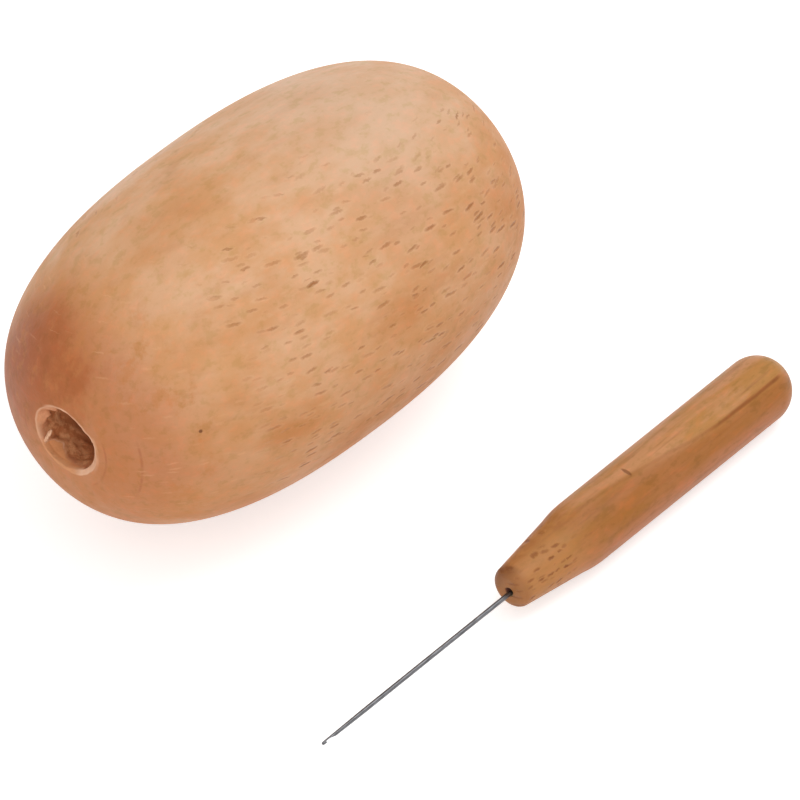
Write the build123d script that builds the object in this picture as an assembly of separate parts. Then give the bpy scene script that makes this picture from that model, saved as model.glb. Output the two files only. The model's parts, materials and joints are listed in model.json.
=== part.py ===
from build123d import *
import os
from math import cos, radians, sin, sqrt, tan

# A turned beech darning egg and the small hook tool that stores in its bore, lying side by side.
# Millimetres, +Z up, +X along the egg from its drilled end to its whole end, +Y away from the tool.

# Egg, with the powers that make its sides full and its ends blunt, and the turns where its arcs meet
egg_length = 83.0
egg_diameter = 49.2
belly_power = 2.4
end_power = 3.0
arc_turns = (0, 24, 52, 90)

# Bore in the egg, which takes the handle of the tool
bore_clearance = 0.1
wall_past_bore = 12.0
drill_point_angle = 118.0
mouth_break = 0.45

# Handle of the tool, a dowel with a tapered nose and a domed butt
handle_diameter = 10.0
handle_length = 59.0
nose_diameter = 6.4
nose_round = 1.3
taper_length = 14.0
taper_blend = 30.0

# Steel needle, held in a pilot bore that was drilled a little off the handle's axis
wire_diameter = 0.7
needle_reach = 40.4
tang_length = 16.0
tang_point = 0.4
glue_gap = 0.02
needle_offset = 0.42
needle_roll = 45.0
pilot_mouth_diameter = 1.9
pilot_mouth_depth = 1.1

# Hook ground at the tip of the needle, with places measured back from the tip
shank_taper = 9.0
head_diameter = 0.5
lip_place = 0.8
lip_undercut = 0.2
neck_thickness = 0.22
neck_place = 1.5
throat_place = 2.7
throat_round = 0.08
ramp_blend = 2.0

# Where the tool lies: the clear space beside the egg, its nose behind the middle, and its turn
side_gap = 22.6
nose_place = 6.8
tool_turn = 2.3

# One overrun serves all cuts
cut_overrun = 1.0

egg_radius = egg_diameter / 2
stem_radius = handle_diameter / 2
bore_radius = stem_radius + bore_clearance
nose_radius = nose_diameter / 2
wire_radius = wire_diameter / 2
pilot_radius = wire_radius + glue_gap
head_radius = head_diameter / 2


def egg_outline_point(turn):
    """A point on the egg's side outline, from the drilled end at 0 degrees to the middle at 90."""
    along = -egg_length / 2 * abs(cos(radians(turn))) ** (2 / belly_power)
    out = egg_radius * sin(radians(turn)) ** (2 / end_power)
    return Vector(along, out)


def egg_outline_way(turn):
    """The way that the outline runs at that point: square to the axis at the end, level at the middle."""
    if turn == arc_turns[0]:
        return Vector(0, 1)
    if turn == arc_turns[-1]:
        return Vector(1, 0)
    point = egg_outline_point(turn)
    forward = -point.X * tan(radians(turn)) / belly_power
    outward = point.Y / tan(radians(turn)) / end_power
    return Vector(forward, outward).normalized()


def two_arcs(start, start_way, end, end_way):
    """Two tangent arcs that leave the start and reach the end along these ways."""
    chord = end - start
    bend = 2 * (1 - start_way.dot(end_way))
    advance = chord.dot(start_way + end_way)
    reach = (sqrt(advance**2 + bend * chord.dot(chord)) - advance) / bend
    joint = (start + end + (start_way - end_way) * reach) / 2
    first = TangentArc(start, joint, tangent=start_way)
    return [first, TangentArc(joint, end, tangent=first % 1)]


def drilled_half():
    """The side outline of the half with the bore, as tangent arcs from the end to the middle."""
    arcs = []
    for turn, next_turn in zip(arc_turns, arc_turns[1:]):
        start, end = egg_outline_point(turn), egg_outline_point(next_turn)
        arcs += two_arcs(start, egg_outline_way(turn), end, egg_outline_way(next_turn))
    return arcs


def egg_reach(radius):
    """How far the egg's end lies from its middle, along the axis, at this small radius."""
    end_curve = drilled_half()[0].radius
    return egg_length / 2 - end_curve + sqrt(end_curve**2 - radius**2)


def egg_blank():
    """The egg as it comes off the lathe: round and blunt, with both ends alike."""
    drilled = drilled_half()
    whole = [mirror(arc, Plane.YZ) for arc in drilled]
    axis_line = Line(drilled[0] @ 0, -(drilled[0] @ 0))
    return revolve(make_face([*drilled, *whole, axis_line]), Axis.X)


def bore_cutter():
    """The blind bore with its drill point, and the broken edge round its mouth."""
    mouth_radius = bore_radius + mouth_break
    mouth = -egg_reach(mouth_radius)
    outside = -egg_length / 2 - cut_overrun
    point = egg_length / 2 - wall_past_bore
    shoulder = point - bore_radius / tan(radians(drill_point_angle / 2))
    outline = Polyline(
        (outside, 0),
        (outside, mouth_radius),
        (mouth, mouth_radius),
        (mouth + mouth_break, bore_radius),
        (shoulder, bore_radius),
        (point, 0),
        close=True,
    )
    return revolve(make_face(outline), Axis.X)


def make_egg():
    """The egg, resting on its belly with its middle over the origin."""
    return Pos(0, 0, egg_radius) * (egg_blank() - bore_cutter())


def round_corner(face, place, radius):
    """Round the corner of an outline that is nearest to this place."""
    corner = face.vertices().sort_by_distance(Vertex(*place))[0]
    return fillet(corner, radius)


def handle_blank():
    """The dowel from nose to butt, with its nose at the origin."""
    nose = (0, nose_radius)
    shoulder = (taper_length, stem_radius)
    dome_start = (handle_length - stem_radius, stem_radius)
    butt = (handle_length, 0)
    side = Polyline(butt, (0, 0), nose, shoulder, dome_start)
    dome = RadiusArc(dome_start, butt, stem_radius)
    face = round_corner(make_face(side + dome), nose, nose_round)
    face = round_corner(face, shoulder, taper_blend)
    return revolve(face, Axis.X)


def pilot_cutter():
    """The pilot bore for the tang, and the chipped mouth round it."""
    depth = tang_length + glue_gap
    outline = Polyline(
        (-cut_overrun, 0),
        (-cut_overrun, pilot_radius),
        (depth, pilot_radius),
        (depth, 0),
        close=True,
    )
    bore = revolve(make_face(outline), Axis.X)
    mouth_radius = pilot_mouth_diameter / 2
    outline = Polyline(
        (-cut_overrun, 0),
        (-cut_overrun, mouth_radius),
        (0, mouth_radius),
        (pilot_mouth_depth, pilot_radius),
        (pilot_mouth_depth, 0),
        close=True,
    )
    mouth = revolve(make_face(outline), Axis.X)
    return Pos(0, 0, -needle_offset) * bore + Pos(0, 0, -needle_offset / 2) * mouth


def make_handle():
    """The turned handle with its pilot bore, on its own axis."""
    return handle_blank() - Rot(-needle_roll, 0, 0) * pilot_cutter()


def shank_radius(place):
    """Radius of the tapered shank, this far back from the tip."""
    share = (place - head_radius) / (shank_taper - head_radius)
    return head_radius + (wire_radius - head_radius) * share


def needle_blank():
    """The wire with its tapered shank, its round tip and its tang, before the hook is ground."""
    tip = -needle_reach
    side = Polyline(
        (tip + head_radius, head_radius),
        (tip + shank_taper, wire_radius),
        (tang_length - tang_point, wire_radius),
        (tang_length, 0),
        (tip, 0),
    )
    end = RadiusArc((tip, 0), (tip + head_radius, head_radius), head_radius)
    return revolve(make_face(side + end), Axis.X)


def throat_cutter():
    """The notch that leaves the lip: undercut in front, round inside, with a long ramp behind."""
    floor = head_radius - neck_thickness
    outside = -wire_diameter
    lip = lip_place - needle_reach
    front = lip - lip_undercut
    neck = neck_place - needle_reach
    ramp = throat_place - needle_reach
    outline = Polyline(
        (lip, outside),
        (lip, -shank_radius(lip_place)),
        (front, floor),
        (neck, floor),
        (ramp, -shank_radius(throat_place)),
        (ramp, outside),
        close=True,
    )
    face = round_corner(make_face(outline), (front, floor), throat_round)
    face = round_corner(face, (neck, floor), ramp_blend)
    return extrude(Plane.XZ * face, wire_diameter, both=True)


def make_needle():
    """The hooked needle, on the axis of its pilot bore."""
    needle = needle_blank() - throat_cutter()
    return Rot(-needle_roll, 0, 0) * Pos(0, 0, -needle_offset) * needle


def tool_place():
    """Where the nose of the tool lies, with the tool flat on its round side."""
    aside = egg_radius + side_gap + stem_radius
    return Pos(-nose_place, -aside, stem_radius) * Rot(0, 0, tool_turn)


def place_on_footprint(pieces):
    """Shift the set so that the middle of its footprint is the origin."""
    boxes = [piece.bounding_box() for piece in pieces.values()]
    low = [min(tuple(box.min)[side] for box in boxes) for side in range(3)]
    high = [max(tuple(box.max)[side] for box in boxes) for side in range(3)]
    shift = Pos(-(low[0] + high[0]) / 2, -(low[1] + high[1]) / 2, -low[2])
    return {name: shift * piece for name, piece in pieces.items()}


def make_set():
    """The egg, and the handle and needle of the tool beside it."""
    pieces = {
        "egg": make_egg(),
        "hook_handle": tool_place() * make_handle(),
        "hook_needle": tool_place() * make_needle(),
    }
    return place_on_footprint(pieces)


def main():
    os.makedirs("parts", exist_ok=True)
    for name, piece in make_set().items():
        export_step(piece, f"parts/{name}.step")
        box = piece.bounding_box()
        print(name, "volume", round(piece.volume, 2), "box", box.min, box.max)


main()
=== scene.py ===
import bmesh
import bpy
import json
from math import atan2, cos, pi, radians, sin, sqrt, tan
from mathutils import Matrix, Vector, noise


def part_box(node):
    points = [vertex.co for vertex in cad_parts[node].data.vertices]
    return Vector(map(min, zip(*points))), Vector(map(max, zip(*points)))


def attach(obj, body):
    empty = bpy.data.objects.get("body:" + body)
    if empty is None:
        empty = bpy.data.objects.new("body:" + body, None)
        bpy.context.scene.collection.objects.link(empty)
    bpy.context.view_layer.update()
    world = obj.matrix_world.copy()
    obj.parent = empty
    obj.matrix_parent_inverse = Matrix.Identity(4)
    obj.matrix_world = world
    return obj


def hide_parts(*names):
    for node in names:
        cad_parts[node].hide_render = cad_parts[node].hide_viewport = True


# A turned beech darning egg and its small hook tool. Metres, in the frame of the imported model.

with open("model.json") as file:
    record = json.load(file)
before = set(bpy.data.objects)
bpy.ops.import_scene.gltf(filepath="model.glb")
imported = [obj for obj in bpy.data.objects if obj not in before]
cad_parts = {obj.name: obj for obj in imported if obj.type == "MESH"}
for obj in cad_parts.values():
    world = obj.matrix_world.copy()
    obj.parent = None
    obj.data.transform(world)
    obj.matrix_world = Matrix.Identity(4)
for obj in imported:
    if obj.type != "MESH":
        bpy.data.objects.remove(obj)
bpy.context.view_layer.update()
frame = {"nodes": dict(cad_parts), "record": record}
MM = 0.001


def in_mm(*lengths):
    """Lengths that are given in millimetres, in metres."""
    return tuple(length * MM for length in lengths)


def colour(red, green, blue):
    """A colour that is given as it looks on screen, 0 to 255, in the linear values that shaders take."""
    def linear(value):
        share = value / 255
        return share / 12.92 if share <= 0.04045 else ((share + 0.055) / 1.055) ** 2.4
    return (linear(red), linear(green), linear(blue), 1)


# Egg: the powers make its sides full and its ends blunt
EGG_LENGTH = 83.0 * MM
BELLY_POWER = 2.4
END_POWER = 3.0
EGG_STEPS_ROUND = 288
EGG_STEPS_ALONG = 190

# Bore in the egg, with its mouth broken unevenly by the drill
DRILL_POINT_ANGLE = radians(118)
MOUTH_BREAK_MOST = 1.05 * MM
MOUTH_SLOPE = 0.8
TORN_DEPTH = 7.5 * MM
CONE_STEPS = 8
DEEP_STEPS = 24
TORN_STEPS = 64
MOUTH_STEPS = 14

# How far the mouth is broken out: degrees round the bore from level on its far side, and millimetres there
BREAK_WIDTHS = (
    (-180, 1.0), (-126, 0.75), (-90, 0.4), (-60, 0.25), (-37, 0.2), (-5, 0.25), (22, 0.45),
    (40, 0.25), (59, 0.12), (85, 0.1), (110, 0.12), (133, 0.35), (160, 1.0), (180, 1.0),
)
BREAK_LEAST = 0.05 * MM

# Ragged waves on the break: how many go round the mouth, their height and where they start
RAGGED_WAVES = ((7, 0.5, 2.1), (13, 0.35, 0.4), (23, 0.3, 0.0))
RAGGED_HEIGHT = 0.06 * MM

# The mouth's slope: how soft its outer edge is, the chips and the paleness on it, and the paler band outside
# it
SLOPE_EDGE = in_mm(-0.12, 0.08)
CHIP_HEIGHT = 0.10 * MM
CHIP_SCALE = 1400.0
PALE_SCALE = 700.0
PALE_EDGE = in_mm(0.10, 0.26)
PALE_OUTSIDE_EDGE = in_mm(0.36, 0.12)
PALE_OUTSIDE_SIDE = radians(125)
FRESHEST_SIDE = radians(190)

# The smooth lobe that the drill left at the mouth: how deep it reaches before the torn wood starts, in
# millimetres at degrees round the bore, how deep it has to be to get its own painted light and pale edge,
# and how far it flares out, from just past its edge to just outside the mouth
LOBE_DEPTHS = ((-125, 0.0), (-108, 0.3), (-82, 0.75), (-66, 1.7), (-58, 2.2), (-46, 1.5), (-38, 0.0))
LOBE_DEPTH_LEAST = 0.3 * MM
LOBE_SEEN = 0.4 * MM
LOBE_FLARE = 0.8 * MM
FLARE_PAST_EDGE = 0.2 * MM
FLARE_OUTSIDE = -0.4 * MM
LOBE_FRAY = (radians(-78), radians(-62))
LOBE_RIM = in_mm(0.24, 0.05)
LOBE_LIGHT_FADE = in_mm(0.1, -0.3)

# Arcs round the bore, in degrees from level on its far side: where each starts, is full, fades and ends
LOBE_ARC = (-130, -100, -44, -22)
RAGGED_ARC = (-22, -4, 44, 62)
SHELF_ARC = (-22, 18, 78, 122)

# The broken shelf that hangs into the bore on its far and upper side
SHELF_WIDTH = 1.15 * MM
SHELF_TOP = in_mm(0.1, 1.4)
SHELF_LIP = 1.75 * MM
LIP_UNEVENNESS = 0.5 * MM
LIP_THICKNESS = 0.45 * MM

# The torn wall: where tearing starts and is full behind the lobe's edge, and the lumps that it leaves
TEAR_STARTS = in_mm(0.1, 1.3)
TEAR_FULL_DEPTH = 3.5 * MM
TEAR_HEIGHT = 0.70 * MM
TEAR_LEAST = -0.15 * MM
LUMPS_ALONG = 520.0
LUMPS_ROUND = 2.8
BROWN_STARTS = in_mm(-0.2, 0.6)

# Where the bore gets painted shade: the depth on its far side, and the turn of that side round the bore
PAINTED_SHADE_DEPTH = 6.1 * MM
PAINTED_SHADE_SIDE = radians(-53)
PAINTED_SHADE_UNEVENNESS = 0.5 * MM
PAINTED_SHADE_EDGE = in_mm(-0.5, 0.4)

# The splinter: its depth past the mouth and its place across the bore, at its root, its bend and its tip
SPLINTER_POINTS = ((0.35, 4.3, -3.9), (0.385, 3.7, -2.2), (0.56, 2.9, -0.5))
SPLINTER_WIDTH = 0.6 * MM
SPLINTER_STEPS = 10

# Handle of the tool
NOSE_RADIUS = 3.2 * MM
NOSE_ROUND = 1.3 * MM
TAPER_LENGTH = 14.0 * MM
TAPER_BLEND = 30.0 * MM
TOOL_TURN = radians(2.3)
HANDLE_STEPS_ROUND = 128
FACE_STEPS = 26
CORNER_STEPS = 12
TAPER_STEPS = 26
BLEND_STEPS = 8
STEM_STEPS = 60
DOME_STEPS = 24

# Chipped mouth of the pilot bore, round the wire, which sits off the axis
NEEDLE_OFFSET = 0.42 * MM
NEEDLE_ROLL = radians(45)
PILOT_MOUTH_RADIUS = 0.80 * MM
PILOT_MOUTH_DEPTH = 0.8 * MM
NOSE_FACE_DEPTH = 0.4 * MM

# Camera, turned and tilted as the photograph was taken, with its aim and width at the object
VIEW_AZIMUTH = radians(-47.5)
VIEW_ELEVATION = radians(42.4)
VIEW_AIM = Vector((2.69, -4.77, 13.46)) * MM
VIEW_DISTANCE = 5.0
VIEW_WIDTH = 111.7 * MM
VIEW_REACH = 20.0
SENSOR_WIDTH = 36.0

# Studio: the half width of the floor, the extra light with which the floor is seen as white, and how strong
# the surroundings are as a light and as they are seen
FLOOR_REACH = 4.0
FLOOR_LIFT = 0.55
AROUND_LIGHT = 0.72
AROUND_SEEN = 1.0

# Points closer than SAME_PLACE are one, and a radius within ON_AXIS of a limit is on it
SAME_PLACE = 1e-7
ON_AXIS = 1e-6

record = frame["record"]
mounts = {mount["name"]: mount for mount in record["mounts"]}
egg_low, egg_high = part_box("egg")

egg_radius = (egg_high.z - egg_low.z) / 2
egg_middle = Vector((egg_high.x - EGG_LENGTH / 2, egg_high.y - egg_radius, egg_radius))
bore_radius = mounts["handle_bore"]["dims"]["r_mm"] * MM
bore_length = mounts["handle_bore"]["dims"]["length_mm"] * MM

stem_radius = mounts["handle_stem"]["dims"]["r_mm"] * MM
stem_length = mounts["handle_stem"]["dims"]["length_mm"] * MM
stem_middle = Vector(mounts["handle_stem"]["pos_m"])
taper_angle = atan2(stem_radius - NOSE_RADIUS, TAPER_LENGTH)
half_blend = TAPER_BLEND * tan(taper_angle / 2)
stem_start = TAPER_LENGTH + half_blend
handle_length = stem_start + stem_length + stem_radius
tool_way = Vector((cos(TOOL_TURN), sin(TOOL_TURN), 0))
handle_nose = stem_middle - tool_way * (stem_length / 2 + stem_start)


class Finish:
    """A surface finish under construction, with short ways to add what it is made of."""

    def __init__(self, name):
        self.material = bpy.data.materials.new(name)
        self.material.use_nodes = True
        self.tree = self.material.node_tree
        self.shader = self.tree.nodes["Principled BSDF"]

    def add(self, kind, **settings):
        node = self.tree.nodes.new(kind)
        for name, value in settings.items():
            setattr(node, name, value)
        return node

    def join(self, source, target):
        if isinstance(source, (int, float, tuple, Vector)):
            target.default_value = source
        else:
            self.tree.links.new(source, target)

    def place(self, middle, turn=0.0, tilt=0.0):
        """Object coordinates from this middle, turned about Z and then tilted about X."""
        source = self.add("ShaderNodeTexCoord").outputs["Object"]
        centred = self.vector("SUBTRACT", source, tuple(middle))
        turned = self.rotate(centred, "Z_AXIS", -turn)
        return self.rotate(turned, "X_AXIS", -tilt)

    def rotate(self, vector, axis, angle):
        node = self.add("ShaderNodeVectorRotate", rotation_type=axis)
        self.join(vector, node.inputs["Vector"])
        node.inputs["Angle"].default_value = angle
        return node.outputs[0]

    def vector(self, operation, first, second, result="Vector"):
        node = self.add("ShaderNodeVectorMath", operation=operation)
        self.join(first, node.inputs[0])
        self.join(second, node.inputs[1])
        return node.outputs[result]

    def distance(self, first, second):
        return self.vector("DISTANCE", first, second, result="Value")

    def length(self, x, y, z):
        return self.vector("LENGTH", self.together(x, y, z), (0.0, 0.0, 0.0), result="Value")

    def parts(self, vector):
        node = self.add("ShaderNodeSeparateXYZ")
        self.join(vector, node.inputs[0])
        return node.outputs[0:3]

    def together(self, x, y, z):
        node = self.add("ShaderNodeCombineXYZ")
        for value, socket in zip((x, y, z), node.inputs):
            self.join(value, socket)
        return node.outputs[0]

    def math(self, operation, first, second=0.0):
        node = self.add("ShaderNodeMath", operation=operation)
        self.join(first, node.inputs[0])
        self.join(second, node.inputs[1])
        return node.outputs[0]

    def plus(self, first, second):
        return self.math("ADD", first, second)

    def minus(self, first, second):
        return self.math("SUBTRACT", first, second)

    def over(self, first, second):
        return self.math("DIVIDE", first, second)

    def most(self, first, second):
        return self.math("MAXIMUM", first, second)

    def times(self, product, *factors):
        for factor in factors:
            product = self.math("MULTIPLY", product, factor)
        return product

    def sway(self, pattern, width):
        """A pattern that runs from 0 to 1 as one that sways this wide about zero."""
        return self.times(self.minus(pattern, 0.5), width)

    def band(self, value, start, end, low=0.0, high=1.0):
        """A smooth step from low to high, as the value goes from start to end."""
        node = self.add("ShaderNodeMapRange", interpolation_type="SMOOTHSTEP")
        self.join(value, node.inputs["Value"])
        for name, number in (("From Min", start), ("From Max", end), ("To Min", low), ("To Max", high)):
            node.inputs[name].default_value = number
        return node.outputs[0]

    def noise(self, vector, scale, detail=3.0, roughness=0.55):
        node = self.add("ShaderNodeTexNoise")
        self.join(vector, node.inputs["Vector"])
        node.inputs["Scale"].default_value = scale
        node.inputs["Detail"].default_value = detail
        node.inputs["Roughness"].default_value = roughness
        return node.outputs["Fac"]

    def grain(self, vector, stretch, scale, **settings):
        """Noise that is drawn out along the grain, where the stretch is below 1."""
        return self.noise(self.vector("MULTIPLY", vector, stretch), scale, **settings)

    def cells(self, vector):
        node = self.add("ShaderNodeTexVoronoi")
        self.join(vector, node.inputs["Vector"])
        node.inputs["Scale"].default_value = 1.0
        return node.outputs

    def mix(self, share, low, high, blend="MIX"):
        node = self.add("ShaderNodeMix", data_type="RGBA", blend_type=blend)
        self.join(share, node.inputs[0])
        self.join(low, node.inputs[6])
        self.join(high, node.inputs[7])
        return node.outputs[2]

    def tint(self, share, tone, filter_colour):
        """The tone, with a filter of this colour laid over this share of it."""
        return self.mix(share, tone, filter_colour, blend="MULTIPLY")

    def attribute(self, name):
        return self.add("ShaderNodeAttribute", attribute_name=name).outputs["Fac"]

    def relief(self, height, distance, strength):
        bump = self.add("ShaderNodeBump")
        self.join(height, bump.inputs["Height"])
        bump.inputs["Distance"].default_value = distance
        bump.inputs["Strength"].default_value = strength
        self.join(bump.outputs[0], self.shader.inputs["Normal"])

    def set(self, **values):
        for name, value in values.items():
            self.join(value, self.shader.inputs[name.replace("_", " ").title().replace("Ior", "IOR")])
        return self.material


# Flecks of beech, in three kinds: their spacing and half size along the grain, in its depth and across their
# thickness, the share of the places that hold one, and how far they waver
LARGE_FLECKS = (in_mm(4.4, 4.0, 1.7), in_mm(1.0, 1.7, 0.23), 0.74, 0.45 * MM)
SMALL_FLECKS = (in_mm(3.0, 3.0, 1.3), in_mm(0.6, 1.2, 0.18), 0.52, 0.40 * MM)
HANDLE_FLECKS = (in_mm(1.5, 2.0, 0.8), in_mm(0.55, 1.1, 0.18), 0.72, 0.40 * MM)
WAVER_SCALE = 1900.0
FLECK_LEAN = 0.24
FLECK_POINTEDNESS = 1.4


def flecks(finish, place, kind, narrowing=1.0):
    """Flecks of beech: thin plates along the grain that the surface cuts through.

    Narrowing thins them where the surface lies flat to the plates. The second result is a painted highlight
    beside them.
    """
    spacing, size, share_filled, waver = kind
    bend = finish.sway(finish.noise(place, WAVER_SCALE, detail=2.0), waver)
    place = finish.vector("ADD", place, finish.together(0.0, 0.0, bend))
    cell = finish.cells(finish.vector("DIVIDE", place, spacing))
    chance, darkness, slant = finish.parts(cell["Color"])
    apart = finish.vector("SUBTRACT", place, finish.vector("MULTIPLY", cell["Position"], spacing))
    along, deep, thick = finish.parts(apart)
    thick = finish.plus(thick, finish.times(along, finish.sway(slant, FLECK_LEAN)))
    stretch = finish.plus(finish.times(chance, 0.9), 0.45)
    along = finish.math("ABSOLUTE", finish.over(along, finish.times(stretch, size[0])))
    along = finish.math("POWER", along, FLECK_POINTEDNESS)
    thick = finish.over(thick, finish.times(narrowing, size[2]))
    reach = finish.length(along, finish.over(deep, size[1]), thick)
    near = finish.band(reach, 1.5, 0.35)
    beside = finish.band(reach, 2.4, 1.3)
    present = finish.band(chance, 1 - share_filled, 1 - share_filled * 0.85)
    shown = finish.times(present, finish.plus(finish.times(darkness, 0.55), 0.45))
    return finish.times(near, shown), finish.times(finish.minus(beside, near), shown)


# Colours of the egg, and three filters over them
PALE_BEECH = colour(222, 174, 134)
TAN_BEECH = colour(215, 159, 110)
ORANGE_BEECH = colour(200, 134, 80)
# Painted light on the egg's underside
UNDERSIDE_PAINTED_LIGHT = colour(226, 164, 130)
# A painted sheen towards the top of the egg
PAINTED_TOP_SHEEN = colour(224, 194, 168)
DARK_STREAK = colour(188, 130, 88)
END_BROWN = colour(190, 110, 54)
END_DARKEST = colour(164, 88, 38)
END_FLUSH = colour(152, 86, 66)
END_AMBER = colour(196, 126, 66)
TURNING_MARK = colour(160, 84, 52)
FLECK_BROWN = colour(160, 98, 50)
# A painted highlight along the edges of the flecks
FLECK_EDGE_HIGHLIGHT = colour(238, 190, 146)
PALE_NICK = colour(232, 172, 126)
PIT_BROWN = colour(112, 62, 32)
END_FILTER = (0.97, 0.94, 1.00, 1)
OLIVE_FILTER = (0.90, 0.92, 0.82, 1)
PINK_FILTER = (1.07, 1.00, 1.00, 1)

# Colours in the bore and at its mouth
TORN_BROWN = colour(196, 124, 78)
TORN_PALE = colour(232, 168, 118)
# Painted shade for the deep part of the bore
TORN_PAINTED_SHADE = colour(194, 124, 80)
# Painted light near the mouth, where the bore is shallow
TORN_PAINTED_LIGHT = colour(222, 154, 114)
# Painted light that lifts the shaded lobe
LOBE_PAINTED_LIGHT = colour(234, 164, 110)
RIM_PALE = colour(244, 192, 156)

# How the egg's grain lies to its axis, and the darkest end grain, from the egg's middle
GRAIN_ROLL = radians(13)
GRAIN_PITCH = radians(-6)
DARK_END = Vector((-39.5, 4.5, 9.5)) * MM

# Where changes in the egg's colour, painted light among them, start and are full, along X, Y or Z from its
# middle or as a reach from DARK_END, and how far patches, clouds and the end grain's figure push them about
LOW_WARMS_Z = in_mm(21, -10)
CLOUDS_WARM_Z = in_mm(18, 4)
UNDERSIDE_Z = in_mm(-10, -19)
PAINTED_SHEEN_Z = in_mm(13, 24)
PAINTED_SHEEN_X = in_mm(-8, 20)
END_BROWN_REACH = in_mm(19, 2)
END_DARKEST_REACH = in_mm(13, 0)
END_BROWN_X = in_mm(-26, -42)
END_BROWN_Z = in_mm(-14, 2)
FLUSH_X = in_mm(-30, -38)
FLUSH_Y = in_mm(0, 14)
AMBER_X = in_mm(-26, -34)
END_FILTER_X = in_mm(-33, -38)
WHOLE_END_X = in_mm(30, 42)
FLECKS_X = in_mm(-29, -18)
NICKS_X = in_mm(-14, -24)
NICKS_END_X = in_mm(-41, -39)
# Painted light in the bore near its mouth
SHALLOW_X = in_mm(-37.6, -39.4)
SHALLOW_UNEVENNESS = 2 * MM
PATCH_PUSH = 16 * MM
CLOUD_PUSH = 10 * MM
FIGURE_PUSH = 7 * MM

# A small dark pit in the near side, from the egg's middle
PIT = Vector((-32.4, -17.7, 6.4)) * MM
PIT_RADIUS = 0.34 * MM

# Marks that the turning tool left round the drilled end
TURNING_MARK_RADII = in_mm(7.7, 12.7)
TURNING_MARK_WIDTH = 0.30 * MM
TURNING_MARK_DROP = 1.2 * MM
TURNING_MARK_X = in_mm(-34, -36)
TURNING_MARK_HEIGHT = in_mm(5.2, 2.2)


def egg_finish():
    """Waxed beech with flecks, soft mottling and turning marks, browner on its end grain and in the bore."""
    finish = Finish("waxed_beech")
    centred = finish.place(egg_middle)
    place = finish.rotate(finish.rotate(centred, "X_AXIS", GRAIN_ROLL), "Y_AXIS", GRAIN_PITCH)
    cloud = finish.grain(place, (0.6, 1.0, 1.0), 170.0, detail=4.0, roughness=0.6)
    warm = finish.grain(place, (0.6, 1.0, 1.0), 70.0)
    streak = finish.grain(place, (0.07, 0.5, 1.0), 800.0, detail=4.0)
    mottle = finish.grain(place, (0.75, 1.0, 1.0), 620.0, roughness=0.6)
    drift = finish.plus(finish.sway(warm, PATCH_PUSH), finish.sway(cloud, CLOUD_PUSH))

    tone = clouded_tone(finish, centred, cloud, warm)
    tone = finish.mix(finish.band(streak, 0.50, 0.75, high=0.22), tone, DARK_STREAK)
    tone = brown_the_ends(finish, tone, centred, drift)
    tone = finish.tint(finish.band(mottle, 0.48, 0.32), tone, OLIVE_FILTER)
    tone = finish.tint(finish.band(mottle, 0.52, 0.68), tone, PINK_FILTER)
    tone = mark_the_turning(finish, tone, centred, mottle, drift)
    tone, marks = fleck_the_side(finish, tone, centred, place)
    pit = finish.band(finish.distance(centred, PIT), PIT_RADIUS, PIT_RADIUS * 0.4)
    tone = finish.mix(finish.times(pit, 0.85), tone, PIT_BROWN)
    tone, fibres = line_the_bore(finish, tone, centred)

    height = finish.minus(finish.times(streak, 0.25), finish.most(marks, pit))
    height = finish.plus(height, finish.times(mottle, 0.8))
    height = finish.plus(height, finish.times(fibres, 0.8))
    finish.relief(height, distance=0.28 * MM, strength=0.6)
    dullness = finish.band(cloud, 0.3, 0.7, low=0.48, high=0.60)
    return finish.set(base_color=tone, roughness=dullness, specular_ior_level=0.22)


def clouded_tone(finish, centred, cloud, warm):
    """Pale and tan clouds, warmer in patches and low on the egg, with painted light, paler and pinker, on
    its underside.
    """
    z = finish.parts(centred)[2]
    tone = finish.mix(finish.band(cloud, 0.35, 0.65), PALE_BEECH, TAN_BEECH)
    warmth = finish.times(finish.band(warm, 0.42, 0.72), finish.band(z, *CLOUDS_WARM_Z, low=0.75))
    warmth = finish.plus(warmth, finish.times(finish.band(z, *LOW_WARMS_Z), 0.85))
    tone = finish.mix(finish.times(warmth, 0.74), tone, ORANGE_BEECH)
    # Painted light, paler and pinker, on the underside
    return finish.mix(finish.band(z, *UNDERSIDE_Z, high=0.55), tone, UNDERSIDE_PAINTED_LIGHT)


def brown_the_ends(finish, tone, centred, drift):
    """Browner figured end grain, darkest on the upper side of the hole, and a painted sheen towards the top.
    """
    x, y, z = finish.parts(centred)
    figure = finish.grain(centred, (1.0, 1.0, 0.7), 330.0, detail=5.0, roughness=0.7)
    reach = finish.plus(finish.distance(centred, DARK_END), drift)
    reach = finish.plus(reach, finish.sway(figure, FIGURE_PUSH))
    whole = finish.band(finish.plus(x, drift), *END_BROWN_X, high=0.55)
    whole = finish.times(whole, finish.band(z, *END_BROWN_Z, low=0.35))
    end = finish.most(finish.band(reach, *END_BROWN_REACH, high=0.92), whole)
    tone = finish.mix(end, tone, END_BROWN)
    darkest = finish.band(figure, 0.62, 0.38, low=0.25, high=0.50)
    tone = finish.mix(finish.times(finish.band(reach, *END_DARKEST_REACH), darkest), tone, END_DARKEST)
    flush = finish.band(finish.plus(y, drift), *FLUSH_Y, high=0.65)
    flush = finish.times(flush, finish.band(x, *FLUSH_X), finish.band(figure, 0.36, 0.60, low=0.6))
    tone = finish.mix(flush, tone, END_FLUSH)
    amber = finish.times(finish.band(figure, 0.50, 0.68), finish.band(x, *AMBER_X, high=0.5))
    tone = finish.mix(amber, tone, END_AMBER)
    tone = finish.tint(finish.band(x, *END_FILTER_X), tone, END_FILTER)
    tone = finish.mix(finish.band(x, *WHOLE_END_X, high=0.35), tone, ORANGE_BEECH)
    # Painted sheen on the upper part of the egg, towards its whole end
    upper = finish.times(finish.band(z, *PAINTED_SHEEN_Z, high=0.45), finish.band(x, *PAINTED_SHEEN_X))
    return finish.mix(upper, tone, PAINTED_TOP_SHEEN)


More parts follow.
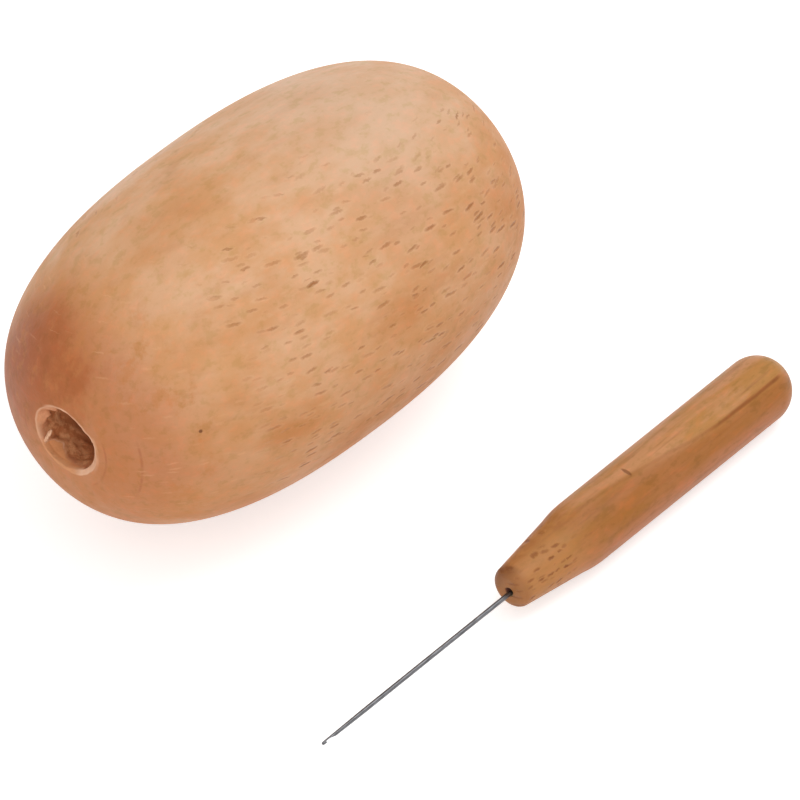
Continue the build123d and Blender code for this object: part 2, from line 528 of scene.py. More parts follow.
def mark_the_turning(finish, tone, centred, mottle, drift):
    """Soft broken rings that the turning tool left round the drilled end, seen beside the hole alone."""
    x, y, z = finish.parts(centred)
    radius = finish.plus(finish.length(0.0, y, z), finish.times(drift, 0.02))
    ring = 0.0
    for ring_radius in TURNING_MARK_RADII:
        apart = finish.math("ABSOLUTE", finish.minus(radius, ring_radius))
        ring = finish.most(finish.band(apart, TURNING_MARK_WIDTH, 0.0), ring)
    height = finish.math("ABSOLUTE", finish.plus(z, finish.plus(drift, TURNING_MARK_DROP)))
    broken = finish.band(mottle, 0.38, 0.52, low=0.35)
    beside = finish.band(height, *TURNING_MARK_HEIGHT)
    ring = finish.times(ring, finish.band(x, *TURNING_MARK_X), broken, beside, 0.38)
    return finish.mix(ring, tone, TURNING_MARK)


def fleck_the_side(finish, tone, centred, place):
    """Dark flecks with a painted highlight along their edges, fewer near the top, and pale nicks towards the
    drilled end.
    """
    x, y, z = finish.parts(centred)
    cut_y, cut_z = finish.parts(place)[1:]
    lying = finish.over(cut_z, finish.length(0.0, cut_y, cut_z))
    narrowing = finish.math("SQRT", finish.minus(1.02, finish.times(lying, lying)))
    large, large_edge = flecks(finish, place, LARGE_FLECKS, narrowing)
    elsewhere = finish.vector("ADD", place, in_mm(50, 30, 20))
    small, small_edge = flecks(finish, elsewhere, SMALL_FLECKS, narrowing)
    patch = finish.noise(place, 70.0, detail=1.0)
    dense = finish.band(finish.minus(patch, finish.times(z, 8.0)), 0.20, 0.44, low=0.35)
    marks = finish.most(finish.times(large, dense), finish.times(small, 0.62))
    edges = finish.most(large_edge, finish.times(small_edge, 0.5))
    present = finish.times(finish.band(lying, 0.98, 0.86, low=0.1), finish.band(x, *FLECKS_X))
    marks = finish.times(marks, present)
    # Painted highlight along the edges of the flecks
    tone = finish.mix(finish.times(edges, present, 0.20), tone, FLECK_EDGE_HIGHLIGHT)
    tone = finish.mix(finish.times(marks, 0.85), tone, FLECK_BROWN)
    pale = finish.times(small, finish.band(x, *NICKS_X, high=0.32), finish.band(x, *NICKS_END_X))
    return finish.mix(pale, tone, PALE_NICK), marks


def line_the_bore(finish, tone, centred):
    """Torn wood in the bore, with painted light near its mouth and painted shade deep in it, its smooth lobe
    lifted by painted light, and the pale edge of its mouth, where the mesh notes them.
    """
    x = finish.parts(centred)[0]
    torn = finish.attribute("torn")
    rough = finish.noise(centred, 800.0)
    inside = finish.mix(finish.band(rough, 0.40, 0.60), TORN_BROWN, TORN_PALE)
    # Painted shade deep in the bore
    inside = finish.mix(finish.attribute("deep"), inside, TORN_PAINTED_SHADE)
    # Painted light near the mouth of the bore
    depth = finish.plus(x, finish.times(rough, SHALLOW_UNEVENNESS))
    inside = finish.mix(finish.band(depth, *SHALLOW_X, high=0.75), inside, TORN_PAINTED_LIGHT)
    tone = finish.mix(torn, tone, inside)
    # Painted light that lifts the shaded lobe
    tone = finish.mix(finish.times(finish.attribute("lobe"), 0.85), tone, LOBE_PAINTED_LIGHT)
    return finish.mix(finish.attribute("rim"), tone, RIM_PALE), finish.times(torn, rough)


# Colours of the handle, and four filters over them
LIGHT_VARNISH = colour(196, 138, 90)
HONEY_VARNISH = colour(182, 126, 64)
BROWN_VARNISH = colour(162, 96, 40)
PINK_VARNISH = colour(186, 116, 76)
NOSE_VARNISH = colour(204, 148, 92)
FLANK_VARNISH = colour(146, 74, 28)
RING_LINE = colour(142, 80, 32)
HANDLE_STREAK = colour(146, 88, 44)
HANDLE_FLECK = colour(134, 74, 30)
SCAR_BROWN = colour(118, 66, 28)
NOSE_END_GRAIN = colour(150, 94, 56)
NOSE_CORNER = colour(110, 66, 36)
PILOT_BROWN = colour(112, 70, 56)
PILOT_OLIVE_GREY = colour(146, 136, 104)
DEEP_OLIVE_FILTER = (0.84, 0.86, 0.74, 1)
WARM_FILTER = (1.12, 1.03, 1.06, 1)
PATCH_OLIVE_FILTER = (0.92, 0.96, 0.74, 1)
PATCH_ROSY_FILTER = (1.07, 1.05, 1.10, 1)

# How the handle's growth rings and its flecks lie
HANDLE_ROLL = radians(35.2)
FLECKS_ROLL = radians(55)
FLECKS_TURN = radians(-14)

# Where changes in the handle's wood start and are full: X runs from the nose, Y and Z from the rolled axis
RING_X = in_mm(16, 45)
RING_Y = in_mm(2.6, -0.3)
RING_WANDER = 0.8 * MM
BROWN_BEHIND_RING = in_mm(1.0, -1.2)
RING_LINE_WIDTH = in_mm(0.42, 0.04)
RING_LINE_X = in_mm(38, 44)
RING_LINE_END_X = in_mm(56, 54.5)
PINK_Y = in_mm(-2.6, -4.2)
PATCHES_X = in_mm(30, 16)
FLANK_X = in_mm(17, 9)
FLANK_Y = in_mm(1.4, 3.0)
NOSE_X = in_mm(17, 7)
HANDLE_FLECKS_X = in_mm(12.5, 7.5)
END_GRAIN_X = in_mm(2.2, 0.4)
CORNER_X = in_mm(2.2, 1.0)
CORNER_Y = in_mm(0.6, 2.2)
PILOT_OLIVE_GREY_Y = in_mm(0.0, -0.5)

# A short scar across the grain
SCAR_X = 25.2 * MM
SCAR_Y = 2.6 * MM
SCAR_HALF_WIDTH = 0.30 * MM
SCAR_HALF_LENGTH = 0.8 * MM
SCAR_SIDE_Z = in_mm(1, 2)


def handle_finish():
    """Honey-brown varnish over beech, with a growth ring, soft patches and streaks, flecks and a scar."""
    finish = Finish("honey_varnished_beech")
    place = finish.place(handle_nose, turn=TOOL_TURN, tilt=HANDLE_ROLL)
    x = finish.parts(place)[0]
    cloud = finish.grain(place, (0.20, 1.0, 1.0), 420.0)
    mottle = finish.grain(place, (0.45, 1.0, 1.0), 900.0, roughness=0.6)
    streak = finish.grain(place, (0.05, 1.0, 1.0), 1500.0, detail=4.0)

    tone = finish.mix(finish.band(cloud, 0.38, 0.60), LIGHT_VARNISH, HONEY_VARNISH)
    tone = show_the_ring(finish, tone, place, cloud)
    tone = patch_the_varnish(finish, tone, place, mottle)
    tone = finish.mix(finish.band(streak, 0.52, 0.74, high=0.45), tone, HANDLE_STREAK)
    tone = finish.mix(finish.band(x, *NOSE_X, high=0.38), tone, NOSE_VARNISH)
    tone, marks = fleck_and_scar(finish, tone, place)
    tone = brown_the_nose(finish, tone, place)

    height = finish.minus(finish.times(streak, 0.4), marks)
    height = finish.plus(height, finish.times(mottle, 0.4))
    finish.relief(height, distance=0.18 * MM, strength=0.5)
    return finish.set(base_color=tone, roughness=0.45, specular_ior_level=0.22)


def show_the_ring(finish, tone, place, cloud):
    """The growth ring that comes out on the side seen in front, and the darker wood past it."""
    x, y = finish.parts(place)[:2]
    past = finish.minus(y, finish.band(x, *RING_X, *RING_Y))
    past = finish.plus(past, finish.sway(cloud, RING_WANDER))
    darker = finish.band(past, *BROWN_BEHIND_RING)
    tone = finish.mix(finish.times(darker, 0.75), tone, BROWN_VARNISH)
    line = finish.band(finish.math("ABSOLUTE", past), *RING_LINE_WIDTH)
    line = finish.times(line, finish.band(x, *RING_LINE_X, low=0.30), finish.band(x, *RING_LINE_END_X))
    return finish.mix(finish.times(line, 0.9), tone, RING_LINE)


def patch_the_varnish(finish, tone, place, mottle):
    """Pinker wood low on the side seen in front, olive and rosy patches, and a darker flank at the nose."""
    x, y = finish.parts(place)[:2]
    tone = finish.mix(finish.band(y, *PINK_Y, high=0.60), tone, PINK_VARNISH)
    tone = finish.tint(finish.band(mottle, 0.48, 0.32), tone, DEEP_OLIVE_FILTER)
    tone = finish.tint(finish.band(mottle, 0.52, 0.66), tone, WARM_FILTER)
    patch = finish.grain(place, (0.45, 1.0, 1.0), 330.0, detail=2.0)
    tapered = finish.band(x, *PATCHES_X, low=0.35)
    tone = finish.tint(finish.times(finish.band(patch, 0.47, 0.36), tapered), tone, PATCH_OLIVE_FILTER)
    tone = finish.tint(finish.times(finish.band(patch, 0.52, 0.64), tapered), tone, PATCH_ROSY_FILTER)
    flank = finish.times(finish.band(y, *FLANK_Y), finish.band(x, *FLANK_X))
    flank = finish.times(flank, finish.band(mottle, 0.62, 0.40, low=0.5), 0.8)
    return finish.mix(flank, tone, FLANK_VARNISH)


def fleck_and_scar(finish, tone, place):
    """Flecks near the nose and a short scar across the grain."""
    x, y, z = finish.parts(place)
    tipped = finish.rotate(finish.rotate(place, "X_AXIS", FLECKS_ROLL), "Z_AXIS", FLECKS_TURN)
    marks = flecks(finish, tipped, HANDLE_FLECKS)[0]
    marks = finish.times(marks, finish.band(x, *HANDLE_FLECKS_X, low=0.10))
    tone = finish.mix(finish.times(marks, 0.95), tone, HANDLE_FLECK)
    scar_x = finish.over(finish.minus(x, SCAR_X), SCAR_HALF_WIDTH)
    scar_y = finish.over(finish.minus(y, SCAR_Y), SCAR_HALF_LENGTH)
    scar = finish.band(finish.length(scar_x, scar_y, 0.0), 1.2, 0.7)
    scar = finish.times(scar, finish.band(z, *SCAR_SIDE_Z))
    return finish.mix(finish.times(scar, 0.7), tone, SCAR_BROWN), finish.plus(marks, scar)


def brown_the_nose(finish, tone, place):
    """Browner end grain on the nose, and the dark broken mouth of the pilot bore, olive-grey on its lower
    side.
    """
    x, y = finish.parts(place)[:2]
    tone = finish.mix(finish.band(x, *END_GRAIN_X, high=0.50), tone, NOSE_END_GRAIN)
    corner = finish.times(finish.band(x, *CORNER_X), finish.band(y, *CORNER_Y), 0.45)
    tone = finish.mix(corner, tone, NOSE_CORNER)
    return finish.mix(finish.attribute("torn"), tone, finish.mix(finish.band(y, *PILOT_OLIVE_GREY_Y), PILOT_BROWN, PILOT_OLIVE_GREY))


def steel_finish():
    """Drawn steel wire, dull and slightly streaked along its length."""
    finish = Finish("drawn_steel")
    place = finish.place(handle_nose, turn=TOOL_TURN)
    streak = finish.grain(place, (0.1, 1.0, 1.0), 6000.0)
    tone = finish.mix(finish.band(streak, 0.3, 0.7), colour(88, 88, 90), colour(124, 124, 127))
    dullness = finish.band(streak, 0.3, 0.7, low=0.28, high=0.38)
    return finish.set(base_color=tone, metallic=1.0, roughness=dullness)


def splinter_finish():
    """Raw pale beech, with its fibres along the splinter."""
    finish = Finish("raw_beech")
    fibre = finish.grain(finish.place(egg_middle), (1.0, 1.0, 0.3), 5000.0, detail=2.0)
    tone = finish.mix(finish.band(fibre, 0.35, 0.65), colour(206, 150, 112), colour(236, 186, 150))
    finish.relief(fibre, distance=0.06 * MM, strength=0.5)
    return finish.set(base_color=tone, roughness=0.7, specular_ior_level=0.3)


def lathe_tree():
    """Nodes that turn a row of points, given beside the X axis, into a closed round piece."""
    tree = bpy.data.node_groups.new("lathe", "GeometryNodeTree")
    sides = tree.interface
    sides.new_socket("Profile", in_out="INPUT", socket_type="NodeSocketGeometry")
    steps_input = sides.new_socket("Steps Round", in_out="INPUT", socket_type="NodeSocketInt")
    finish_input = sides.new_socket("Finish", in_out="INPUT", socket_type="NodeSocketMaterial")
    sides.new_socket("Turned", in_out="OUTPUT", socket_type="NodeSocketGeometry")
    add, join = tree.nodes.new, tree.links.new

    def calculate(operation, first, second):
        node = add("ShaderNodeMath")
        node.operation = operation
        for value, socket in zip((first, second), node.inputs):
            if isinstance(value, (int, float)):
                socket.default_value = value
            else:
                join(value, socket)
        return node.outputs[0]

    # A flat grid with one row of corners for each point of the profile
    source = add("NodeGroupInput")
    profile, steps, finish = (source.outputs[name] for name in ("Profile", "Steps Round", "Finish"))
    size = add("GeometryNodeAttributeDomainSize")
    join(profile, size.inputs[0])
    columns = calculate("ADD", steps, 1)
    grid = add("GeometryNodeMeshGrid")
    join(size.outputs["Point Count"], grid.inputs["Vertices X"])
    join(columns, grid.inputs["Vertices Y"])
    index = add("GeometryNodeInputIndex").outputs[0]
    row = calculate("FLOOR", calculate("DIVIDE", calculate("ADD", index, 0.5), columns), 0)
    column = calculate("SUBTRACT", index, calculate("MULTIPLY", row, columns))
    angle = calculate("MULTIPLY", calculate("DIVIDE", column, steps), 2 * pi)

    # Each row is wrapped round the X axis at its point's radius
    position = add("GeometryNodeInputPosition")
    sample = add("GeometryNodeSampleIndex")
    sample.data_type = "FLOAT_VECTOR"
    join(profile, sample.inputs["Geometry"])
    join(position.outputs[0], sample.inputs["Value"])
    join(row, sample.inputs["Index"])
    split = add("ShaderNodeSeparateXYZ")
    join(sample.outputs[0], split.inputs[0])
    turned = add("ShaderNodeCombineXYZ")
    join(split.outputs["X"], turned.inputs["X"])
    join(calculate("MULTIPLY", split.outputs["Y"], calculate("COSINE", angle, 0)), turned.inputs["Y"])
    join(calculate("MULTIPLY", split.outputs["Y"], calculate("SINE", angle, 0)), turned.inputs["Z"])
    shape = add("GeometryNodeSetPosition")
    join(grid.outputs["Mesh"], shape.inputs["Geometry"])
    join(turned.outputs[0], shape.inputs["Position"])
    merge = add("GeometryNodeMergeByDistance")
    merge.inputs["Distance"].default_value = SAME_PLACE
    join(shape.outputs[0], merge.inputs[0])
    smooth = add("GeometryNodeSetShadeSmooth")
    join(merge.outputs[0], smooth.inputs[0])
    real = add("GeometryNodeRealizeInstances")
    join(smooth.outputs[0], real.inputs[0])
    paint = add("GeometryNodeSetMaterial")
    join(real.outputs[0], paint.inputs["Geometry"])
    join(finish, paint.inputs["Material"])
    join(paint.outputs[0], add("NodeGroupOutput").inputs[0])
    return tree, steps_input.identifier, finish_input.identifier


def turn_on_lathe(name, profile, steps_round, finish):
    """A plain mesh of the profile, (x, radius) points in order, turned round the X axis."""
    tree, steps_name, finish_name = lathe_tree()
    row = bpy.data.meshes.new(name + "_profile")
    row.from_pydata([(x, radius, 0) for x, radius in profile], [], [])
    blank = bpy.data.objects.new(name + "_blank", row)
    bpy.context.scene.collection.objects.link(blank)
    lathe = blank.modifiers.new("lathe", "NODES")
    lathe.node_group = tree
    lathe[steps_name] = steps_round
    lathe[finish_name] = finish
    scene_state = bpy.context.evaluated_depsgraph_get()
    mesh = bpy.data.meshes.new_from_object(blank.evaluated_get(scene_state), depsgraph=scene_state)
    blank.modifiers.remove(lathe)
    bpy.data.objects.remove(blank)
    mesh.name = name
    return mesh


def show(name, mesh, body, material_slot, *nodes):
    """Put a finished mesh in the scene, riding on its body."""
    piece = bpy.data.objects.new(name, mesh)
    bpy.context.scene.collection.objects.link(piece)
    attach(piece, body)
    if nodes:
        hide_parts(*nodes)


def close_and_smooth(mesh):
    """Merge doubles, point every face outwards and shade the surface smooth."""
    work = bmesh.new()
    work.from_mesh(mesh)
    bmesh.ops.remove_doubles(work, verts=work.verts, dist=SAME_PLACE)
    bmesh.ops.recalc_face_normals(work, faces=work.faces)
    for face in work.faces:
        face.smooth = True
    work.to_mesh(mesh)
    work.free()


def spread(start, end, steps):
    """Evenly spaced values from start to end, both included."""
    return [start + (end - start) * step / steps for step in range(steps + 1)]


def step(value, start, end):
    """A smooth step from 0 to 1 as the value goes from start to end."""
    share = min(max((value - start) / (end - start), 0.0), 1.0)
    return share * share * (3 - 2 * share)


def read_curve(curve, angle):
    """The length at this angle on a curve of degrees and millimetres, eased between its points."""
    for (start, low), (end, high) in zip(curve, curve[1:]):
        if radians(start) <= angle <= radians(end):
            return (low + (high - low) * step(angle, radians(start), radians(end))) * MM
    return curve[0][1] * MM


def on_arc(angle, arc):
    """How fully this angle round the bore lies on an arc, from 0 to 1."""
    start, full, fades, end = (radians(degrees) for degrees in arc)
    return step(angle, start, full) * step(angle, end, fades)


def uneven(*place):
    """Smooth noise between about -1 and 1."""
    return noise.noise(Vector(place))


def hand_noise(place, scale, seed):
    """Smooth noise between about -1 and 1 at a place in metres."""
    return noise.noise(place * scale + Vector((seed, seed * 1.7, -seed)))


def egg_outline(turn):
    """A point (x, radius) on the egg's side, from the drilled end at 0 to the whole end at pi."""
    along = -EGG_LENGTH / 2 * abs(cos(turn)) ** (2 / BELLY_POWER) * (1 if cos(turn) > 0 else -1)
    return along, egg_radius * abs(sin(turn)) ** (2 / END_POWER)


def drilled_end_x(radius):
    """How far along the drilled end lies at this radius, in the egg's own frame."""
    share = 1 - (radius / egg_radius) ** END_POWER
    return -EGG_LENGTH / 2 * share ** (1 / BELLY_POWER)


def mouth_turn():
    """The turn at which the outline is as wide as the widest break of the mouth."""
    share = (bore_radius + MOUTH_BREAK_MOST) / egg_radius
    sine = share ** (END_POWER / 2)
    return atan2(sine, sqrt(1 - sine**2))


def mouth_start():
    """How far along the widest break of the mouth lies, in the egg's own frame."""
    return egg_outline(mouth_turn())[0]


def egg_profile():
    """The egg's section from the drill point, out along the bore and over the outside to the whole end."""
    wall_start = mouth_start() + MOUTH_BREAK_MOST
    shoulder = wall_start + bore_length
    torn_end = wall_start + TORN_DEPTH
    point = shoulder + bore_radius / tan(DRILL_POINT_ANGLE / 2)
    cone = [(point + (shoulder - point) * share, bore_radius * share) for share in spread(0, 1, CONE_STEPS)]
    deep = [(x, bore_radius) for x in spread(shoulder, torn_end, DEEP_STEPS)[1:]]
    torn = [(x, bore_radius) for x in spread(torn_end, wall_start, TORN_STEPS)[1:]]
    slope = [(wall_start - out, bore_radius + out) for out in spread(0, MOUTH_BREAK_MOST, MOUTH_STEPS)[1:]]
    outside = [egg_outline(turn) for turn in spread(mouth_turn(), pi, EGG_STEPS_ALONG)[1:]]
    outside[-1] = (EGG_LENGTH / 2, 0)
    return cone + deep + torn + slope + outside


def mouth_break(angle):
    """How far the mouth is broken outwards at this angle."""
    ragged = sum(height * sin(count * angle + start) for count, height, start in RAGGED_WAVES)
    return max(read_curve(BREAK_WIDTHS, angle) + RAGGED_HEIGHT * ragged, BREAK_LEAST)


def lobe_depth(angle):
    """How deep the smooth lobe reaches at this angle round the bore, past the depth of the broken mouth."""
    if not radians(LOBE_DEPTHS[0][0]) < angle < radians(LOBE_DEPTHS[-1][0]):
        return 0.0
    return read_curve(LOBE_DEPTHS, angle) + MOUTH_SLOPE * mouth_break(angle) + LOBE_DEPTH_LEAST


def rim_paleness(angle):
    """How pale the broken edge is: freshest on the near side and at its lowest, least on the far side."""
    return 0.75 + 0.25 * step(cos(angle - FRESHEST_SIDE), -0.2, 0.6)


def cut_the_slope(vertex, angle, radius):
    """Cut the mouth's slope as far out as it is broken here, and note how pale, torn and smooth it is, the
    smooth lobe getting painted light.
    """
    inwards = bore_radius + mouth_break(angle) - radius
    cut = step(inwards, *SLOPE_EDGE)
    chips = CHIP_HEIGHT * hand_noise(vertex.co, CHIP_SCALE, 3.0)
    vertex.co.x = drilled_end_x(radius) + max(0.0, inwards * MOUTH_SLOPE + chips) * cut
    pale = cut * rim_paleness(angle) * (0.85 + 0.3 * hand_noise(vertex.co, PALE_SCALE, 9.0))
    smooth = on_arc(angle, LOBE_ARC)
    # On the far side only the very edge is pale, and the slope inside it is torn
    ragged = on_arc(angle, RAGGED_ARC) * step(inwards, *PALE_EDGE)
    pale *= (1 - 0.8 * smooth) * (1 - ragged)
    # The near slope is hidden from the front, so a paler band shows on the outside beside it, on its upper
    # near side
    pale_outside = step(-inwards, *PALE_OUTSIDE_EDGE) * step(cos(angle - PALE_OUTSIDE_SIDE), 0.0, 0.6)
    pale_outside *= 0.60 + 0.60 * hand_noise(vertex.co, PALE_SCALE, 5.0)
    return {"rim": max(pale, pale_outside), "torn": 0.8 * cut * ragged, "lobe": 0.6 * cut * smooth}


def shelf_reach(angle, depth):
    """How far the broken shelf reaches into the bore here."""
    shelf = on_arc(angle, SHELF_ARC) * (0.85 + 0.5 * uneven(angle * 3.2, 6.0, 2.0))
    lip = SHELF_LIP + LIP_UNEVENNESS * uneven(angle * 4.5, 3.0, 9.0)
    return SHELF_WIDTH * shelf * step(depth, *SHELF_TOP) * step(depth, lip + LIP_THICKNESS, lip)


def tear_the_wall(vertex, angle, radius, depth):
    """Tear the wall behind the smooth lobe's edge, and note how torn, smooth and pale it is and where it
    gets painted shade.
    """
    outward = Vector((0, vertex.co.y / radius, vertex.co.z / radius))
    lobe = lobe_depth(angle)
    past = depth - lobe
    tear = step(past, *TEAR_STARTS) * step(depth, TORN_DEPTH + MOUTH_BREAK_MOST, TEAR_FULL_DEPTH)
    around = Vector((depth * LUMPS_ALONG, angle * LUMPS_ROUND, 0))
    lumps = 0.75 * noise.noise(around + Vector((4, 0, 3)))
    lumps += 0.16 * noise.noise(around * 2.6 + Vector((0, 7, 1)))
    dig = max((0.20 + 0.62 * lumps) * TEAR_HEIGHT, TEAR_LEAST)
    flare = LOBE_FLARE * on_arc(angle, LOBE_ARC) * step(depth, lobe + FLARE_PAST_EDGE, FLARE_OUTSIDE)
    vertex.co += outward * (tear * dig + flare - shelf_reach(angle, depth))

    # Past this depth the wall gets painted shade, which starts deepest on one side of the bore
    painted_shade_start = PAINTED_SHADE_DEPTH * cos(angle - PAINTED_SHADE_SIDE) + PAINTED_SHADE_UNEVENNESS * uneven(angle * 4.0, 2.0, 5.0)
    notes = {"torn": step(past, *BROWN_STARTS), "deep": step(depth - painted_shade_start, *PAINTED_SHADE_EDGE)}
    if lobe > LOBE_SEEN:
        frayed = (0.55 + 0.9 * uneven(angle * 9.0, 1.0, 8.0)) * step(angle, *LOBE_FRAY)
        # The lobe gets painted light that lifts it, up to its edge
        notes["lobe"] = step(past, *LOBE_LIGHT_FADE)
        notes["rim"] = step(abs(past), *LOBE_RIM) * min(max(frayed, 0.0), 0.8)
    return notes


def tear_the_mouth(mesh):
    """Break the mouth of the bore unevenly and tear its wall, and note where for the finish."""
    # The deep note marks painted shade in the bore, and the lobe note marks painted light on the lobe
    names = ("torn", "rim", "deep", "lobe")
    for name in names:
        mesh.attributes.new(name, "FLOAT", "POINT")
    values = {name: mesh.attributes[name].data for name in names}
    mouth_x = mouth_start()
    # The whole end, and the outside away from the mouth, stay as they are
    whole_end_x = EGG_LENGTH / 2 - 2 * bore_radius
    widest = bore_radius + 3 * MOUTH_BREAK_MOST
    for number, vertex in enumerate(mesh.vertices):
        x, y, z = vertex.co
        radius = sqrt(y * y + z * z)
        angle = atan2(z, y)
        if x > whole_end_x or radius > widest:
            continue
        if radius < ON_AXIS:
            # The drill point on the axis is torn wood in painted shade
            notes = {"torn": 1.0, "deep": 1.0}
        elif radius > bore_radius + ON_AXIS:
            notes = cut_the_slope(vertex, angle, radius)
        else:
            notes = tear_the_wall(vertex, angle, radius, x - mouth_x)
        for name, value in notes.items():
            values[name][number].value = value


def make_egg():
    """The turned egg with its torn bore."""
    mesh = turn_on_lathe("turned_egg", egg_profile(), EGG_STEPS_ROUND, egg_finish())
    tear_the_mouth(mesh)
    mesh.transform(Matrix.Translation(egg_middle))
    close_and_smooth(mesh)
    show("turned_egg", mesh, "egg", "egg_wood", "egg")


def splinter_section(middle, along, width, thickness):
    """Six points round a place on the splinter, wide across it and thin through it."""
    side = along.cross(Vector((1, 0, 0))).normalized()
    through = along.cross(side).normalized()
    corners = ((1, 0), (0.5, 1), (-0.5, 0.9), (-1, 0), (-0.5, -1), (0.5, -0.9))
    return [middle + side * width / 2 * across + through * thickness / 2 * rise for across, rise in corners]


def make_splinter():
    """The pale splinter that still hangs on to the wall just inside the mouth."""
    edge = Vector((mouth_start(), 0, 0))
    root, bend, tip = (edge + Vector(point) * MM for point in SPLINTER_POINTS)
    rings = []
    for share in spread(0, 1, SPLINTER_STEPS):
        middle = root.lerp(bend, share).lerp(bend.lerp(tip, share), share)
        along = ((bend - root) * (1 - share) + (tip - bend) * share).normalized()
        frayed = 1 + 0.12 * sin(17 * share + 1.0)
        width = SPLINTER_WIDTH * frayed * (1 - 0.45 * step(share, 0.8, 1.0))
        rings.append(splinter_section(middle, along, width, SPLINTER_WIDTH * 0.5 * (1 - 0.5 * share)))
    corners = [point for ring in rings for point in ring]
    sides = len(rings[0])
    faces = [tuple(range(sides)), tuple(range(len(corners) - sides, len(corners)))]
    for ring in range(len(rings) - 1):
        for side in range(sides):
            here, over = ring * sides + side, ring * sides + (side + 1) % sides
            faces.append((here, over, over + sides, here + sides))
    mesh = bpy.data.meshes.new("torn_splinter")
    mesh.from_pydata(corners, [], faces)
    mesh.materials.append(splinter_finish())
    mesh.transform(Matrix.Translation(egg_middle))
    close_and_smooth(mesh)
    show("torn_splinter", mesh, "egg", "egg_wood")


def handle_profile():
    """The handle's section from the middle of its nose to the top of its domed butt."""
    face = [(0.0, radius) for radius in spread(0, NOSE_RADIUS - NOSE_ROUND, FACE_STEPS)]
    corner = []
    for turn in spread(0, pi / 2 - taper_angle, CORNER_STEPS)[1:]:
        corner.append((NOSE_ROUND * (1 - cos(turn)), NOSE_RADIUS - NOSE_ROUND * (1 - sin(turn))))
    end_x, end_radius = corner[-1]
    blend_start = TAPER_LENGTH - half_blend
    side = []
    for x in spread(end_x, blend_start, TAPER_STEPS)[1:]:
        side.append((x, end_radius + (x - end_x) * tan(taper_angle)))
    rise = stem_radius - side[-1][1]
    for share in spread(0, 1, BLEND_STEPS)[1:]:
        x = blend_start + (stem_start - blend_start) * share
        side.append((x, stem_radius - rise * (1 - share) ** 2))
    dome_start = handle_length - stem_radius
    for x in spread(stem_start, dome_start, STEM_STEPS)[1:]:
        side.append((x, stem_radius))
    dome = []
    for turn in spread(0, pi / 2, DOME_STEPS)[1:]:
        dome.append((dome_start + stem_radius * sin(turn), stem_radius * cos(turn)))
    dome[-1] = (handle_length, 0.0)
    return face + corner + side + dome


def chip_the_pilot_mouth(mesh):
    """Break out the mouth of the pilot bore round the wire, on the nose of the handle."""
    torn = mesh.attributes.new("torn", "FLOAT", "POINT")
    down = Vector((0, -sin(NEEDLE_ROLL), -cos(NEEDLE_ROLL)))
    middle = down * NEEDLE_OFFSET / 2
    for number, vertex in enumerate(mesh.vertices):
        if vertex.co.x > NOSE_FACE_DEPTH or vertex.co.yz.length > NOSE_RADIUS - 0.9 * NOSE_ROUND:
            continue
        apart = Vector((0, vertex.co.y, vertex.co.z)) - middle
        angle = atan2(apart.z, apart.y)
        edge = PILOT_MOUTH_RADIUS * (0.94 + 0.05 * sin(3 * angle + 1.0) + 0.03 * sin(5 * angle))
        vertex.co.x += PILOT_MOUTH_DEPTH * step(apart.length, edge, edge * 0.35)
        torn.data[number].value = step(apart.length, edge * 1.05, edge * 0.8)


def make_handle():
    """The varnished handle, with the chipped mouth of its pilot bore."""
    mesh = turn_on_lathe("varnished_handle", handle_profile(), HANDLE_STEPS_ROUND, handle_finish())
    chip_the_pilot_mouth(mesh)
    mesh.transform(Matrix.Translation(handle_nose) @ Matrix.Rotation(TOOL_TURN, 4, "Z"))
    close_and_smooth(mesh)
    show("varnished_handle", mesh, "hook_tool", "handle_wood", "hook_handle")


def finish_needle():
    """The steel needle keeps its own shape, with the hook at its tip."""
    needle = frame["nodes"]["hook_needle"]
    needle.data.materials.clear()
    needle.data.materials.append(steel_finish())


def make_floor():
    """A plain white floor that keeps the soft shadow of the object."""
    mesh = bpy.data.meshes.new("floor")
    corners = [(FLOOR_REACH * x, FLOOR_REACH * y, 0) for x, y in ((-1, -1), (1, -1), (1, 1), (-1, 1))]
    mesh.from_pydata(corners, [], [(0, 1, 2, 3)])
    floor = bpy.data.objects.new("floor", mesh)
    bpy.context.scene.collection.objects.link(floor)
    finish = Finish("white_floor")
    finish.set(base_color=colour(236, 236, 236), roughness=0.9, specular_ior_level=0.1)
    path = finish.add("ShaderNodeLightPath")
    seen = finish.most(path.outputs["Is Camera Ray"], path.outputs["Is Glossy Ray"])
    lift = finish.add("ShaderNodeEmission")
    finish.join(finish.times(seen, FLOOR_LIFT), lift.inputs["Strength"])
    both = finish.add("ShaderNodeAddShader")
    finish.join(finish.shader.outputs[0], both.inputs[0])
    finish.join(lift.outputs[0], both.inputs[1])
    finish.join(both.outputs[0], finish.tree.nodes["Material Output"].inputs["Surface"])
    mesh.materials.append(finish.material)


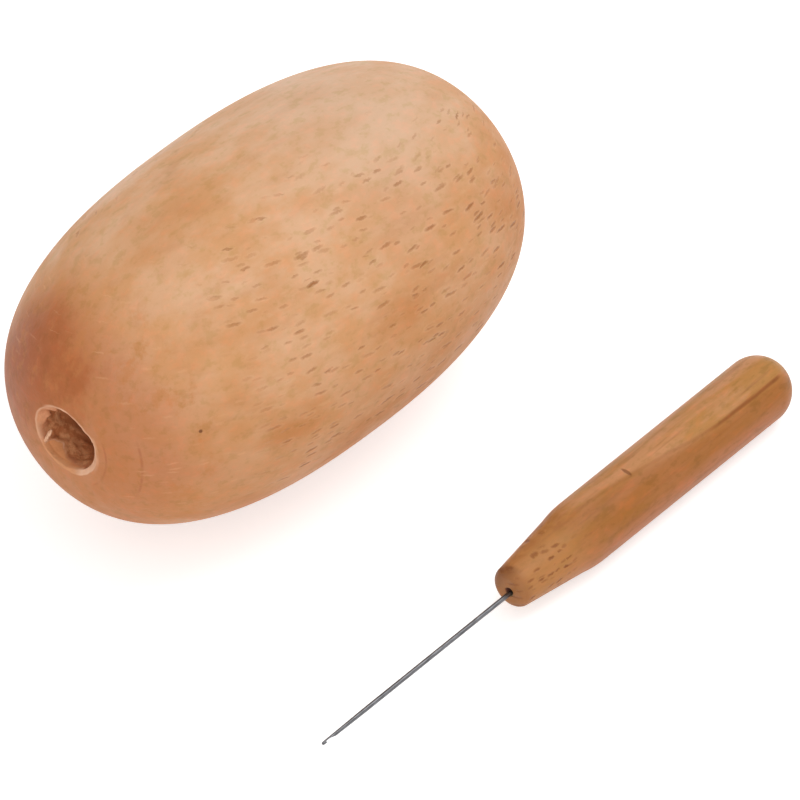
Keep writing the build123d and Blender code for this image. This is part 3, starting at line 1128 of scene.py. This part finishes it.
def make_world():
    """An even, pale surrounding that reads as white where it is seen."""
    world = bpy.data.worlds.new("studio")
    bpy.context.scene.world = world
    world.use_nodes = True
    tree = world.node_tree
    light = tree.nodes["Background"]
    path = tree.nodes.new("ShaderNodeLightPath")
    seen = tree.nodes.new("ShaderNodeMath")
    seen.operation = "MAXIMUM"
    tree.links.new(path.outputs["Is Camera Ray"], seen.inputs[0])
    tree.links.new(path.outputs["Is Glossy Ray"], seen.inputs[1])
    strength = tree.nodes.new("ShaderNodeMapRange")
    strength.inputs["To Min"].default_value = AROUND_LIGHT
    strength.inputs["To Max"].default_value = AROUND_SEEN
    tree.links.new(seen.outputs[0], strength.inputs["Value"])
    tree.links.new(strength.outputs[0], light.inputs["Strength"])
    light.inputs["Color"].default_value = (1, 1, 1, 1)


def look_from(azimuth, elevation):
    """The direction back from the object to a place at this azimuth and elevation."""
    return Vector((sin(azimuth) * cos(elevation), -cos(azimuth) * cos(elevation), sin(elevation)))


def aim_from(holder, back, distance):
    """Put a lamp or camera this far back from the object's middle, and face it."""
    bpy.context.scene.collection.objects.link(holder)
    holder.location = VIEW_AIM + back * distance
    holder.rotation_euler = back.to_track_quat("Z", "Y").to_euler()


def hang_lamp(name, azimuth, elevation, distance, size, power):
    """A square soft lamp that faces the object from this azimuth and elevation in degrees."""
    lamp = bpy.data.lights.new(name, "AREA")
    lamp.shape = "SQUARE"
    lamp.size = size
    lamp.energy = power
    aim_from(bpy.data.objects.new(name, lamp), look_from(radians(azimuth), radians(elevation)), distance)


def place_camera():
    """The camera at the photograph's viewing angle, far enough away for its flat perspective."""
    data = bpy.data.cameras.new("camera")
    data.sensor_width = SENSOR_WIDTH
    data.lens = SENSOR_WIDTH * VIEW_DISTANCE / VIEW_WIDTH
    data.clip_end = VIEW_REACH
    camera = bpy.data.objects.new("camera", data)
    aim_from(camera, look_from(VIEW_AZIMUTH, VIEW_ELEVATION), VIEW_DISTANCE)
    bpy.context.scene.camera = camera


place_camera()
make_floor()
make_world()
hang_lamp("key_lamp", azimuth=60, elevation=62, distance=0.9, size=0.45, power=2.0)
hang_lamp("fill_lamp", azimuth=-50, elevation=20, distance=1.0, size=0.8, power=1.8)
bpy.context.scene.view_settings.view_transform = "Standard"
make_egg()
make_splinter()
make_handle()
finish_needle()
